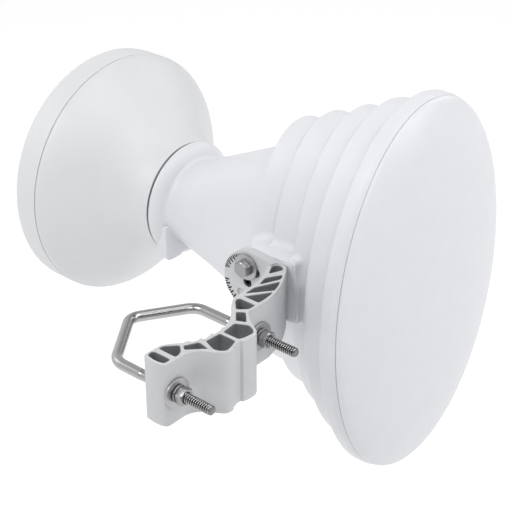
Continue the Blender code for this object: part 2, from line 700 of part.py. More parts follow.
def make_leg_fasteners(mats):
    """A wide washer, a spring washer and a hex nut against the pad round each leg."""
    bore = ROD_RADIUS + GAP
    for number, (leg_y, pad_x) in enumerate(zip((-LEG_Y, LEG_Y), PADS_X), start=1):
        centre = (0, leg_y, 0)
        seat = pad_x + GAP
        washer = [
            (seat, bore), (seat, WASHER_RADIUS), (seat + WASHER_THICK, WASHER_RADIUS),
            (seat + WASHER_THICK, bore),
        ]
        turned(f"leg_washer_{number}", washer, centre, (1, 0, 0), mats["steel"], 32)
        near = seat + WASHER_THICK + GAP
        spring = [
            (near, bore), (near, SPRING_RADIUS), (near + SPRING_THICK, SPRING_RADIUS),
            (near + SPRING_THICK, bore),
        ]
        turned(f"leg_spring_washer_{number}", spring, centre, (1, 0, 0), mats["steel"], 24)
        nut_start = near + SPRING_THICK + GAP
        outline = [(leg_y + y, z) for y, z in hexagon(HEX_ACROSS, math.pi / 6)]
        nut = prism(
            f"leg_nut_{number}", outline, nut_start, nut_start + NUT_THICK, mats["steel"], "X"
        )
        hole = cylinder(
            f"nut_hole_{number}", centre, (1, 0, 0), bore, nut_start - OVERCUT,
            nut_start + NUT_THICK + OVERCUT, mats["steel"],
        )
        boolean(nut, hole, "DIFFERENCE")


def main():
    clear_scene()
    mats = {
        "shell": material("white_housing_plastic", (0.80, 0.81, 0.82), 0.42),
        "radome": material("white_radome_plastic", (0.84, 0.85, 0.86), 0.38),
        "casting": material("grey_coated_casting", (0.53, 0.55, 0.56), 0.55),
        "steel": material("stainless_steel", (0.62, 0.61, 0.59), 0.28, 1.0),
        "brass": material("brass", (0.72, 0.55, 0.25), 0.35, 1.0),
        "rubber": material("grey_seal_rubber", (0.16, 0.16, 0.17), 0.7),
        "dark": material("dark_gland_plastic", (0.07, 0.07, 0.08), 0.5),
    }
    make_horn(mats)
    make_radome(mats)
    make_port(mats)
    make_radio(mats)
    make_clamp(mats)
    make_pivot(mats)
    make_v_bolt(mats)
    make_leg_fasteners(mats)


main()
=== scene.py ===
# %% [markdown]
# # A mast-mounted horn antenna
# The object is a small microwave antenna: a white plastic horn with five oval steps, a domed
# cover over its mouth, a round radio housing on its rear port, and a ribbed metal clamp that a
# steel V-bolt pulls against a mast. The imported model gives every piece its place. Here each
# visible surface is made again with fine rounding, and every finish gets its own material.

import math

import bmesh
import bpy
import numpy as np
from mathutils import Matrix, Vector
from mathutils.geometry import tessellate_polygon


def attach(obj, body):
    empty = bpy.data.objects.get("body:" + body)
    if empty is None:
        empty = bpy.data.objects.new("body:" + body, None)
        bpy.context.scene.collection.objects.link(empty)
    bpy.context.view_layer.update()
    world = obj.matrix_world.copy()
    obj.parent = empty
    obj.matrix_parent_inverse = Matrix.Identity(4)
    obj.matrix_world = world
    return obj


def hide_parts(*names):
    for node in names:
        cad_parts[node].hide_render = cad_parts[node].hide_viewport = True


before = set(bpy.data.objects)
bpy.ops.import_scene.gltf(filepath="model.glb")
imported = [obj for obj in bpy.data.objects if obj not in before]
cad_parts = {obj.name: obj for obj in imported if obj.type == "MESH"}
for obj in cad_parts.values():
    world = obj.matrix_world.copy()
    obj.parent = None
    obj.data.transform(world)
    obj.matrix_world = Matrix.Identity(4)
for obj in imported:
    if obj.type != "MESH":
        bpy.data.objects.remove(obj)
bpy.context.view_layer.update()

# %% [markdown]
# The whole script works in metres, but the antenna's sizes are easier to read in millimetres.
# The horn's axis runs along X, beside the clamp and a little below its middle. Distances along
# it are counted from the rim, so the neck and the radio have negative ones.

# %% Places that many pieces share
MM = 0.001
RIM_X = 43 * MM
AXIS_Y = 197 * MM
AXIS_Z = -8 * MM
PLATE_FRONT_Y = 100.5 * MM
PLATE_BACK_Y = 108.5 * MM
LEG_Y = 48 * MM
CLAMP_TOP = 27.25
CLAMP_BOTTOM = -26.25
print("horn axis at Y", AXIS_Y, "Z", AXIS_Z)

# %% [markdown]
# A camera on a real product shot is rarely level. Here its place and direction were worked out
# from the ovals of the rim and the edges of the clamp, so the same view can be set directly:
# a long lens, about one metre away, looking down a little.

# %% Camera
CAMERA_PLACE = Vector((0.5738, -0.6244, 0.5638))
CAMERA_AIM = Vector((-0.5701, 0.6618, -0.4869))
CAMERA_LENS = 96.06
camera_data = bpy.data.cameras.new("product_camera")
camera_data.lens = CAMERA_LENS
camera_data.sensor_width = 36
camera_data.clip_start = 0.01
camera_data.clip_end = 50
camera = bpy.data.objects.new("product_camera", camera_data)
camera.location = CAMERA_PLACE
camera.rotation_euler = CAMERA_AIM.to_track_quat("-Z", "Y").to_euler()
bpy.context.collection.objects.link(camera)
bpy.context.scene.camera = camera
print("camera", round(CAMERA_PLACE.length, 3), "m from the pole seat")

# %% [markdown]
# Colours are written as they are picked on a screen, as hex values. Blender's shaders want
# linear light, so one function turns the one into the other.

# %% Colour helper
def colour(hex_value):
    """Linear RGBA of an sRGB hex: ((c + 0.055) / 1.055) ^ 2.4, or c / 12.92 when dark."""
    srgb = np.array([int(hex_value[i : i + 2], 16) for i in (1, 3, 5)]) / 255
    linear = np.where(srgb <= 0.04045, srgb / 12.92, ((srgb + 0.055) / 1.055) ** 2.4)
    return (*linear.tolist(), 1.0)


print("mid grey in linear light:", [round(v, 3) for v in colour("#808080")])

# %% [markdown]
# The light and every finish are made of nodes. One small function adds a node, sets it and
# links it, so that a graph reads as the list of its nodes. Another starts a material and puts
# its plain numbers on the shader itself.

# %% Nodes and a plain material
def add_node(tree, kind, settings=None, links=None):
    """One node. A key is an input's name or number, or else a property of the node."""
    node = tree.nodes.new(kind)
    for key, value in (settings or {}).items():
        if isinstance(key, int) or key in node.inputs:
            node.inputs[key].default_value = value
        else:
            setattr(node, key, value)
    for key, source in (links or {}).items():
        tree.links.new(source, node.inputs[key])
    return node


def new_paint(name, base, roughness, metallic=0.0, **sockets):
    """A Principled material with its plain numbers set on the shader's own sockets."""
    paint = bpy.data.materials.new(name)
    paint.use_nodes = True
    shader = paint.node_tree.nodes["Principled BSDF"]
    shader.inputs["Base Color"].default_value = colour(base)
    shader.inputs["Roughness"].default_value = roughness
    shader.inputs["Metallic"].default_value = metallic
    for key, value in sockets.items():
        shader.inputs[key.replace("_", " ")].default_value = value
    return paint, paint.node_tree, shader

# %% [markdown]
# The product stands in front of white. The pale floor lies far below it and glows a little of
# its own, like a back-lit sheet, so no shadow shows on it. The surroundings are white behind
# the horn, dim at the sides and dark elsewhere, which gives bare steel light and dark to
# mirror. Large soft lamps round the top do the shading.

# %% Floor and light
def area_light(name, place, aim, size, power):
    """A round soft lamp that looks at a point."""
    data = bpy.data.lights.new(name, "AREA")
    data.shape = "DISK"
    data.size = size
    data.energy = power
    lamp = bpy.data.objects.new(name, data)
    lamp.location = place
    lamp.rotation_euler = (Vector(aim) - Vector(place)).to_track_quat("-Z", "Y").to_euler()
    bpy.context.collection.objects.link(lamp)


def pale_floor(half, height):
    """A flat square far below the object: matt near-white with a soft glow."""
    mesh = bpy.data.meshes.new("pale_floor")
    corners = [(x * half, y * half, height) for x, y in ((-1, -1), (1, -1), (1, 1), (-1, 1))]
    mesh.from_pydata(corners, [], [(0, 1, 2, 3)])
    paint, _, _ = new_paint(
        "back_lit_white_sheet", "#959595", roughness=1.0, Specular_IOR_Level=0.0,
        Emission_Color=colour("#FFFFFF"), Emission_Strength=0.84,
    )
    mesh.materials.append(paint)
    floor = bpy.data.objects.new("pale_floor", mesh)
    bpy.context.collection.objects.link(floor)


def soft_surroundings(even, sides, rear):
    """World light: strength = even + sides |y| + rear max(0, -x) in direction (x, y, z)."""
    world = bpy.data.worlds.new("studio_white")
    world.use_nodes = True
    tree = world.node_tree
    place = add_node(tree, "ShaderNodeTexCoord").outputs["Generated"]
    parts = add_node(tree, "ShaderNodeSeparateXYZ", links={"Vector": place}).outputs
    behind = add_node(
        tree, "ShaderNodeMapRange",
        {"From Min": -1.0, "From Max": 0.0, "To Min": rear, "To Max": 0.0},
        {"Value": parts["X"]},
    )
    across = add_node(tree, "ShaderNodeMath", {"operation": "ABSOLUTE"}, {0: parts["Y"]})
    weighed = add_node(
        tree, "ShaderNodeMath", {"operation": "MULTIPLY_ADD", 1: sides},
        {0: across.outputs[0], 2: behind.outputs["Result"]},
    )
    total = add_node(tree, "ShaderNodeMath", {1: even}, {0: weighed.outputs[0]})
    background = tree.nodes["Background"]
    background.inputs["Color"].default_value = colour("#FFFFFF")
    tree.links.new(total.outputs[0], background.inputs["Strength"])
    return world


scene = bpy.context.scene
scene.view_settings.view_transform = "Standard"
scene.world = soft_surroundings(even=0.04, sides=0.22, rear=1.0)
pale_floor(half=30, height=-0.9)
CENTRE = (-0.09, 0.14, -0.01)
for name, place, size, power in (
    ("overhead_lamp", (0.3, 0.4, 2.4), 1.6, 9),
    ("left_lamp", (-0.4, -1.8, 2.0), 1.6, 31),
    ("camera_side_lamp", (1.2, -1.0, 1.8), 1.2, 11),
    ("back_lamp", (0.4, 2.4, 1.2), 1.4, 11),
    ("right_lamp", (2.0, 1.2, 0.9), 1.2, 15),
    ("rear_lamp", (-2.0, -0.8, 1.2), 1.4, 5),
    ("front_lamp", (1.6, 0.4, 2.2), 1.2, 20),
):
    area_light(name, place, CENTRE, size, power)

# %% [markdown]
# Nearly every piece here is a grid of points: one direction runs along the shape, the other
# runs round it. A small function turns such a grid into a closed mesh, so that each piece
# only has to say where its points are.

# %% From a grid of points to a mesh
def grid_faces(rows, columns, along=False):
    """Quads (i, j), (i, j+1), (i+1, j+1), (i+1, j) of a grid that closes round each row.

    With along the last row also joins the first one.
    """
    i = np.arange(rows if along else rows - 1)[:, None]
    j = np.arange(columns)[None, :]
    after_i = (i + 1) % rows
    after_j = (j + 1) % columns
    corners = [i * columns + j, i * columns + after_j, after_i * columns + after_j]
    corners.append(after_i * columns + j)
    return np.stack(np.broadcast_arrays(*corners), axis=-1).reshape(-1, 4)


def surface(name, points, paint, body, along=False, sharp=40):
    """The piece whose skin is the grid points[row, column]."""
    faces = grid_faces(*points.shape[:2], along)
    return mesh_piece(name, points.reshape(-1, 3), faces, paint, body, sharp)


def closed_object(name, points, faces, sharp=40):
    """Object of points and faces, with poles merged, faces out, and smooth up to an angle."""
    mesh = bpy.data.meshes.new(name)
    mesh.from_pydata(np.asarray(points).tolist(), [], [list(face) for face in faces])
    work = bmesh.new()
    work.from_mesh(mesh)
    bmesh.ops.remove_doubles(work, verts=work.verts, dist=1e-6)
    bmesh.ops.recalc_face_normals(work, faces=work.faces)
    work.to_mesh(mesh)
    work.free()
    mesh.shade_smooth()
    mesh.set_sharp_from_angle(angle=math.radians(sharp))
    piece = bpy.data.objects.new(name, mesh)
    bpy.context.collection.objects.link(piece)
    return piece


def mesh_piece(name, points, faces, paint, body, sharp=40):
    """A closed object with its material and its body."""
    piece = closed_object(name, points, faces, sharp)
    piece.data.materials.append(paint)
    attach(piece, body)
    print(f"{name}: {len(piece.data.vertices)} points, {len(piece.data.polygons)} faces")
    return piece


def rounded(corners, reach, steps=5, loop=False):
    """A path whose corners give way to short arcs.

    Each corner C between A and B, which lie reach away from it on its two legs, becomes the
    parabola (1-t)^2 A + 2t(1-t) C + t^2 B. Works in any number of dimensions.
    """
    corners = np.asarray(corners, float)
    reach = np.broadcast_to(np.asarray(reach, float), len(corners))[:, None]
    before = np.roll(corners, 1, axis=0) - corners
    after = np.roll(corners, -1, axis=0) - corners
    length_before = np.linalg.norm(before, axis=1, keepdims=True)
    length_after = np.linalg.norm(after, axis=1, keepdims=True)
    cut = np.minimum(reach, 0.49 * np.minimum(length_before, length_after))
    start = corners + before / length_before * cut
    end = corners + after / length_after * cut
    t = np.linspace(0, 1, steps)[None, :, None]
    bend = (1 - t) ** 2 * start[:, None] + 2 * t * (1 - t) * corners[:, None]
    bend = bend + t**2 * end[:, None]
    if loop:
        return bend.reshape(-1, corners.shape[1])
    inner = bend[1:-1].reshape(-1, corners.shape[1])
    return np.vstack([corners[:1], inner, corners[-1:]])


def spokes(axis, turn):
    """Unit vectors across cos a + up sin a, square to the axis, for every angle in turn."""
    across = np.array((0.0, 0.0, 1.0))
    up = np.cross(axis, across)
    return across * np.cos(turn)[:, None] + up * np.sin(turn)[:, None]


def spun(name, profile, centre, axis, paint, body, slot, sides=128, sharp=40, loop=True):
    """Surface of revolution: centre + axis * along + radius * spoke(a)."""
    axis = np.array(axis, float)
    turn = np.linspace(0, 2 * np.pi, sides, endpoint=False)
    profile = np.asarray(profile, float)
    along = profile[:, 0, None, None] * axis
    points = np.asarray(centre) + along + profile[:, 1, None, None] * spokes(axis, turn)
    return surface(name, points, paint, body, along=loop, sharp=sharp)


# %% [markdown]
# ## Finishes
# The horn, collar and radio are injection-moulded ASA, a plastic that keeps its white
# outdoors. Moulding leaves a fine, even texture from the tool, a soft sheen, and hardly any
# colour change, so the material is a pale base with a faint cloudiness and a very shallow,
# fine bump.

# %% Moulded plastic
CLOUDS = {"Scale": 60.0, "Detail": 3.0, "Roughness": 0.55}


def add_painted_shade(tree, tone, shade):
    """The tone, going towards shade where a piece's own painted-shade value rises to 1.

    This is painted shade in thread grooves and deep cells, where shade falls.
    """
    if not shade:
        return tone
    depth = add_node(tree, "ShaderNodeAttribute", {"attribute_name": "painted_shade"})
    painted_shade_tone = add_node(
        tree, "ShaderNodeMix", {"data_type": "RGBA", 7: colour(shade)},
        {"Factor": depth.outputs["Fac"], 6: tone},
    )
    return painted_shade_tone.outputs[2]


def vary(tree, shader, noise, light, dark, sheen, shade):
    """Colour goes from light to dark, and roughness between sheen's two ends, by one noise."""
    blend = add_node(
        tree, "ShaderNodeMix", {"data_type": "RGBA", 6: colour(light), 7: colour(dark)},
        {"Factor": noise},
    )
    tree.links.new(add_painted_shade(tree, blend.outputs[2], shade), shader.inputs["Base Color"])
    gloss = add_node(
        tree, "ShaderNodeMapRange", {"To Min": sheen[0], "To Max": sheen[1]}, {"Value": noise}
    )
    tree.links.new(gloss.outputs["Result"], shader.inputs["Roughness"])


def relief(tree, shader, noise, strength, height):
    """A bump on the shader's normal, up to height metres where the noise is 1."""
    bump = add_node(
        tree, "ShaderNodeBump", {"Strength": strength, "Distance": height}, {"Height": noise}
    )
    tree.links.new(bump.outputs["Normal"], shader.inputs["Normal"])


def mottled(name, light, dark, roughness, grain, bump, shade=None, metallic=0.0):
    """Colour and roughness that wander slowly, and a fine bump.

    The slow noise is 1 / 60 m wide, and roughness keeps within 0.05 of its mean; the bump's
    features are about 1 / grain metres wide.
    """
    paint, tree, shader = new_paint(name, light, roughness, metallic)
    place = add_node(tree, "ShaderNodeTexCoord").outputs["Object"]
    clouds = add_node(tree, "ShaderNodeTexNoise", CLOUDS, {"Vector": place}).outputs["Fac"]
    fine = add_node(
        tree, "ShaderNodeTexNoise", {"Scale": grain, "Detail": 2.0}, {"Vector": place}
    ).outputs["Fac"]
    vary(tree, shader, clouds, light, dark, (roughness - 0.05, roughness + 0.05), shade)
    relief(tree, shader, fine, bump, 0.2 * MM)
    return paint


# The tool's texture is a fifth of a millimetre, drawn at 0.7 mm so that it shows at all.
ASA_SHELL = mottled("moulded_white_asa", "#D6D7DB", "#D1D2D6", 0.42, 1400, 0.18)
ASA_RADIO = mottled("moulded_white_asa_radio", "#D3D4D7", "#CED0D2", 0.45, 1400, 0.18)
ASA_RADOME = mottled("moulded_white_asa_radome", "#D8D9DD", "#D3D4D8", 0.38, 1100, 0.10)
print("plastic:", ASA_SHELL.name, ASA_RADIO.name, ASA_RADOME.name)

# %% [markdown]
# The clamp is die-cast aluminium under a light grey powder coat. The powder melts into a skin
# with a faint orange-peel relief, a millimetre or so from bump to bump. The bolts, nuts and
# washers are stainless steel: bare metal, drawn smooth on the rod and turned, pressed or
# rolled elsewhere. The seals are matt silicone, the gland is nylon and the insert is brass.

# %% Metals, rubber and nylon
# The shade colour #7A7B7E is painted shade, laid into the deep cells.
POWDER_COAT = mottled(
    "powder_coated_aluminium", "#C1C2C4", "#B9BABC", 0.5, 900, 0.35, shade="#7A7B7E"
)
PLATE_INK = mottled("black_pad_printed_ink", "#0D0D0E", "#151516", 0.6, 2500, 0.1)
SEAL_RUBBER = mottled("grey_silicone_seal", "#D4D5D8", "#CCCDD0", 0.62, 1800, 0.2)
PORT_RUBBER = mottled("dark_silicone_seal", "#55575A", "#4C4E51", 0.62, 1800, 0.2)
GLAND_NYLON = mottled("black_nylon", "#26272A", "#1F2022", 0.42, 1500, 0.2)
INSERT_BRASS = mottled("turned_brass", "#B9985C", "#A98A50", 0.32, 2200, 0.1, metallic=1.0)


def steel(name, light, dark, roughness, stretch, bump, shade=None):
    """Bare stainless steel: noise stretched one way gives drawn or rolled lines."""
    paint, tree, shader = new_paint(name, light, roughness, metallic=1.0)
    place = add_node(tree, "ShaderNodeTexCoord").outputs["Object"]
    squeeze = add_node(tree, "ShaderNodeMapping", {"Scale": stretch}, {"Vector": place})
    lines = add_node(
        tree, "ShaderNodeTexNoise", {"Scale": 900.0, "Detail": 4.0, "Roughness": 0.6},
        {"Vector": squeeze.outputs["Vector"]},
    ).outputs["Fac"]
    vary(tree, shader, lines, light, dark, (roughness - 0.07, roughness + 0.09), shade)
    relief(tree, shader, lines, bump, 0.1 * MM)
    return paint


NO_LINES = (1.0, 1.0, 1.0)
# The shade colour #222224 is painted shade, laid into the thread grooves.
ROD_STEEL = steel(
    "drawn_stainless_steel", "#B4B4B4", "#A7A7A9", 0.22, (0.12, 0.12, 1.0), 0.04, "#222224"
)
BOLT_STEEL = steel("pressed_stainless_steel", "#A6A6A7", "#98989A", 0.36, NO_LINES, 0.15)
WASHER_STEEL = steel(
    "rolled_stainless_steel", "#B4B4B5", "#A6A6A8", 0.34, (0.2, 1.0, 1.0), 0.15
)
print("metals:", ROD_STEEL.name, BOLT_STEEL.name, WASHER_STEEL.name, POWDER_COAT.name)

# %% [markdown]
# ## The horn
# The horn is one moulding: a round neck that flares into five oval steps, each like a ring a
# little larger than the last, with a rounded shoulder at the back and a shallow dip before the
# next. Each station along the axis is an ellipse, so the whole skin is
# (x, half width cos a, half height sin a), and only the two half sizes change along x.

# %% Horn body
RING_BACKS = np.array([-130, -101, -70.5, -43, -15.5])
RING_HALF_WIDTHS = np.array([65, 71.5, 83, 100, 114.5])
RING_HALF_HEIGHTS = 118 + 13 * np.arange(5)
RIM_HALVES = np.array([111.3, 168.5])
HORN_WALL = 3.5


def horn_stations():
    """Outer (x, half width, half height) in mm, from the neck's rear end to the lip."""
    corners = [(-254, 40, 40), (-246, 40, 40.6), (-200, 38.5, 61), (-130, 48, 95)]
    reach = [0, 4, 30, 2.5]
    ends = np.append(RING_BACKS[1:], 0)
    for back, end, wide, high in zip(RING_BACKS, ends, RING_HALF_WIDTHS, RING_HALF_HEIGHTS):
        corners.append((back + 0.6, wide, high))
        reach.append(4)
        if end < 0:
            corners += [(end - 6, wide - 0.4, high - 0.4), (end + 0.2, wide - 2.4, high - 2.4)]
            reach += [3, 0.4]
        else:
            corners += [(end - 4.5, wide - 0.5, high - 0.2), (end - 0.4, *RIM_HALVES)]
            reach += [2, 0]
    return rounded(corners, reach, steps=7)


def horn_lining():
    """Inner (x, half width, half height): the round throat, then an even flare."""
    corners = [(-254, 30, 30), (-236, 30, 30), (-200, 33.5, 55), (-130, 44.5, 91)]
    less = np.array([RING_HALF_WIDTHS[:4], RING_HALF_HEIGHTS[:4]]) - HORN_WALL - 2.5
    corners += [(x, w, h) for x, w, h in zip(RING_BACKS[1:], *less)]
    corners.append((-0.4, *(RIM_HALVES - HORN_WALL)))
    return rounded(corners, [0, 8, 20, 10, 8, 8, 8, 8, 0], steps=5)


def oval_skin(stations, columns=192):
    """Points (x, w cos a, h sin a) about the horn's axis, for stations in mm."""
    turn = np.linspace(0, 2 * np.pi, columns, endpoint=False)
    x = np.repeat(stations[:, 0, None], columns, axis=1) * MM + RIM_X
    y = stations[:, 1, None] * MM * np.cos(turn) + AXIS_Y
    z = stations[:, 2, None] * MM * np.sin(turn) + AXIS_Z
    return np.stack([x, y, z], axis=-1)


outside = horn_stations()
horn_points = oval_skin(np.vstack([outside, horn_lining()[::-1]]))
horn = surface("horn_skin", horn_points, ASA_SHELL, "horn", along=True, sharp=50)
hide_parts("horn_body")

# %% [markdown]
# On the horn's flank sits a moulded lug with a flat face, which the clamp's plate turns
# against, with a shallow step all round it. Where it leaves the horn it has a fillet, smaller
# where the wall is low. Its wall starts at the step and runs to the horn's skin, whose depth
# at any point is AXIS_Y - w(x) sqrt(1 - (z / h(x))^2).

# %% Side lug
LUG_FACE_Y = PLATE_BACK_Y + 0.3 * MM
LUG_STEP = 0.8
LUG_MARGIN = 2.4
LUG_WALL = 1.3
LUG_FILLET = 6.5
LUG_SINK = 1.6
LUG_POINTS = 160
SWIVEL = (-60, 2.5)


def flank_depth(spot):
    """Y of the horn's skin on the clamp's side, in metres, for (x, z) points in mm."""
    along = spot[:, 0] - RIM_X / MM
    wide = np.interp(along, outside[:, 0], outside[:, 1])
    high = np.interp(along, outside[:, 0], outside[:, 2])
    level = np.clip((spot[:, 1] - AXIS_Z / MM) / high, -0.98, 0.98)
    return AXIS_Y - wide * MM * np.sqrt(1 - level**2)


def evenly(corners, count):
    """A closed loop through the corners, as count points at equal distances."""
    closed = np.vstack([corners, corners[:1]])
    distance = np.append(0, np.cumsum(np.linalg.norm(np.diff(closed, axis=0), axis=1)))
    keep = np.append(True, np.diff(distance) > 1e-9)
    at = np.linspace(0, distance[-1], count, endpoint=False)
    return np.stack([np.interp(at, distance[keep], closed[keep, k]) for k in (0, 1)], axis=1)


def arc_points(centre, radius, start, end, count):
    """Points centre + radius (cos a, sin a) for a from start to end in degrees."""
    turn = np.radians(np.linspace(start, end, count))
    return np.asarray(centre) + radius * np.stack([np.cos(turn), np.sin(turn)], axis=1)


def lug_outline():
    """Closed (x, z) loop in mm: straight at the rim's side, round about the pivot."""
    straight = rounded(
        [(-35, -25), (-13.8, -25), (-13.8, 8), (-17.5, 18), (-17.5, 31.5), (-35, 29.8)],
        [0, 5, 4, 4, 3, 0], 9,
    )
    return evenly(np.vstack([arc_points(SWIVEL, 25, 95, 262, 40), straight]), LUG_POINTS)


def loop_normals(loop):
    """Outward unit normals of a closed loop: its tangent turned a quarter."""
    tangent = np.roll(loop, -1, axis=0) - np.roll(loop, 1, axis=0)
    tangent /= np.linalg.norm(tangent, axis=1, keepdims=True)
    ahead = np.roll(loop, -1, axis=0)
    area = np.sum(loop[:, 0] * ahead[:, 1] - loop[:, 1] * ahead[:, 0])
    return np.stack([tangent[:, 1], -tangent[:, 0]], axis=1) * np.sign(area)


def lug_row(spot, depth):
    """One ring of the lug: its (x, z) points in mm, each at its own Y in metres."""
    return np.stack([spot[:, 0] * MM, np.broadcast_to(depth, len(spot)), spot[:, 1] * MM], 1)


loop = lug_outline()
outward = loop_normals(loop)
middle = loop.mean(axis=0)
face_edge = loop - outward * LUG_MARGIN
lug_rows = [
    lug_row(middle + (face_edge - middle) * share, LUG_FACE_Y) for share in np.linspace(0, 1, 8)
]
for inset, down in ((LUG_MARGIN - 0.1, 0), (0.5, 0), (0.15, 0.15), (0, 0.5)):
    lug_rows.append(lug_row(loop - outward * inset, LUG_FACE_Y + (LUG_STEP + down) * MM))
wall = flank_depth(loop) - LUG_FACE_Y - LUG_WALL * MM
fillet = np.clip(0.7 * wall / MM, 0.6, LUG_FILLET)
near = np.arange(LUG_POINTS)[:, None] + np.arange(-4, 5)
fillet = fillet[near % LUG_POINTS].mean(axis=1)[:, None]
for turn in np.radians(np.linspace(0, 90, 12)):
    spot = loop + outward * fillet * (1 - np.cos(turn))
    rise = fillet[:, 0] * MM * (1 - np.sin(turn))
    depth = np.maximum(flank_depth(spot) - rise, LUG_FACE_Y + LUG_WALL * MM)
    lug_rows.append(lug_row(spot, depth))
for share in np.linspace(1, 0, 9):
    spot = middle + (loop + outward * fillet - middle) * share
    lug_rows.append(lug_row(spot, flank_depth(spot) + LUG_SINK * MM))
surface("side_lug", np.array(lug_rows), ASA_SHELL, "horn", sharp=60)

# %% [markdown]
# ## Radome and gasket
# The radome keeps rain out of the mouth and lets the waves through. It is a thin plastic cap
# whose edge rolls over quickly and whose middle is a gentle dome:
# x = depth (1 - s^2.2)^0.6, where s runs from 1 at the edge to 0 at the tip.

# %% Radome
RADOME_DEPTH = 24.0
RADOME_WALL = 3.5
RADOME_START = 0.4


def dome(depth, halves, start, rows):
    """(x, half width, half height) rows of the dome, closer together near its edge."""
    s = np.cos(np.pi / 2 * np.linspace(0, 1, rows) ** 0.8)
    s[-1] = 0
    return np.stack([start + depth * (1 - s**2.2) ** 0.6, halves[0] * s, halves[1] * s], 1)


outer_dome = dome(RADOME_DEPTH, RIM_HALVES, RADOME_START, 60)
inner_dome = dome(RADOME_DEPTH - RADOME_WALL, RIM_HALVES - RADOME_WALL, RADOME_START, 40)
radome_points = oval_skin(np.vstack([outer_dome, inner_dome[::-1]]))
radome = surface(
    "radome_cap", radome_points, ASA_RADOME, "horn", along=True, sharp=60
)
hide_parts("radome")
seal = [(-0.35, -0.6), (0.35, -0.6), (0.35, -3.0), (-0.35, -3.0)]
seal_points = oval_skin(np.array([(x, *(RIM_HALVES + inset)) for x, inset in seal]))
gasket = surface("rim_seal", seal_points, SEAL_RUBBER, "horn", along=True)
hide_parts("radome_gasket")

# %% [markdown]
# ## Port and radio
# The radio housing plugs into the horn's rear port with a short turn. The collar on the horn
# falls away steeply and runs into the neck with a small hollow fillet. The housing is a wide
# bell: it leaves the port as a narrow throat and swells to a flat drum. All of it is spun
# about the horn's axis.

# %% Collar
ON_AXIS = (RIM_X, AXIS_Y, AXIS_Z)


def about_axis(name, profile, paint, body, slot, **options):
    """Spins (x from the rim, radius) in mm about the horn's axis."""
    profile = np.asarray(profile) * MM
    return spun(name, profile, ON_AXIS, (1, 0, 0), paint, body, slot, **options)


turn = np.radians(np.linspace(0, 74, 22))
shoulder = np.stack(
    [-259.2 + 10.2 * np.sin(turn) ** 1.12, 54.2 - 13.2 * (1 - np.cos(turn) ** 1.12)], axis=1
)
t = np.linspace(0, 1, 10)[1:, None]
fillet = (1 - t) ** 2 * shoulder[-1] + 2 * t * (1 - t) * np.array((-248.8, 40.4))
fillet = fillet + t**2 * np.array((-239.0, 39.4))
collar_profile = np.vstack([
    [(-259.2, 37), (-259.2, 53.7)], shoulder[1:], fillet,
    [(-239.5, 39), (-254.3, 39), (-254.3, 37)],
])
collar = about_axis("round_collar", collar_profile, ASA_SHELL, "horn", "shell", sides=160)
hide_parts("port_collar")

# %% Radio housing
bell = [
    (-266.9, 0), (-266.9, 24), (-255.4, 24), (-255.4, 36), (-261.9, 36), (-261.9, 53.4),
    (-263, 53.6), (-271, 55.5), (-281, 60), (-291, 68), (-300, 77), (-309, 88), (-318, 99),
    (-327, 108), (-333, 113), (-338, 116), (-340.9, 116.7), (-340.9, 0),
]
bell = rounded(bell, [0, 0.5, 1, 1, 0, 0.4, 0.6] + [5] * 9 + [0.5, 0], steps=4)
shell = about_axis("radio_bell", bell, ASA_RADIO, "radio", "shell", sides=192, loop=False)
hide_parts("radio_front_shell")
cover = rounded(
    [(-376, 0), (-376, 102), (-372, 112), (-365.6, 116.7), (-342.1, 116.7), (-342.1, 0)],
    [0, 6, 4, 3, 0.5, 0], steps=7,
)
back_cover = about_axis(
    "radio_cover", cover, ASA_RADIO, "radio", "shell", sides=192, loop=False
)
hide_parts("radio_back_cover")
seam = [(-341.8, 106.7), (-341.8, 115.9), (-341.2, 115.9), (-341.2, 106.7)]
seam_seal = about_axis("housing_seal", seam, SEAL_RUBBER, "radio", "rubber", sides=192)
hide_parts("radio_gasket")
port = [(-261.6, 36.3), (-261.6, 52.8), (-259.8, 52.8), (-259.8, 36.3)]
port_seal = about_axis("port_seal", port, PORT_RUBBER, "radio", "rubber", sides=160)
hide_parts("port_ring")

# %% [markdown]
# A data cable would leave the rear cover through a nylon gland, and a small vent plug lets the
# housing breathe. Both are turned parts on the rear cover, out of sight in the photograph.

# %% Gland and vent
COVER_X = RIM_X - 376.3 * MM
FITTING_OFFSET = 62 * MM
gland_profile = rounded(
    [(0, 4.2), (0, 10), (-4, 10), (-4, 9), (-10, 9), (-16, 7.5), (-16, 4.2)],
    [0, 0.6, 0.3, 0.3, 1.5, 0.8, 0], steps=4,
)
gland = spun(
    "nylon_gland", gland_profile * MM, (COVER_X, AXIS_Y, AXIS_Z - FITTING_OFFSET), (1, 0, 0),
    GLAND_NYLON, "radio", "dark", sides=72,
)
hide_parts("cable_gland")
vent_profile = rounded(
    [(0, 0), (0, 7), (-2, 7), (-3, 6), (-3, 0)], [0, 0.4, 0.6, 0.6, 0], steps=4
)
vent = spun(
    "nylon_vent", vent_profile * MM, (COVER_X, AXIS_Y, AXIS_Z + FITTING_OFFSET), (1, 0, 0),
    GLAND_NYLON, "radio", "dark", sides=64, loop=False,
)
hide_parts("vent_plug")

# %% [markdown]
# ## Clamp casting
# The clamp is a prism: one outline, drawn in plan and rounded at its corners, carried up
# through its height, with cells sunk from both sides between the ribs. A slab of any outline is
# built from rings: each ring is the outline, moved outward by some distance at some height.
# The flat tops between the rings are filled with triangles round the cells' openings.

# %% Loops and slabs
CELL_FLOOR = 2.0


def even_loop(corners, reach, count):
    """A closed 2-D loop with rounded corners and count points at equal distances."""
    return evenly(rounded(corners, reach, steps=6, loop=True), count)


def cap(loops, first):
    """Triangles between an outer loop and its holes, as indices that start at first."""
    flat = [[Vector((u, v, 0)) for u, v in loop] for loop in loops]
    return [[first + i for i in corner] for corner in tessellate_polygon(flat)]


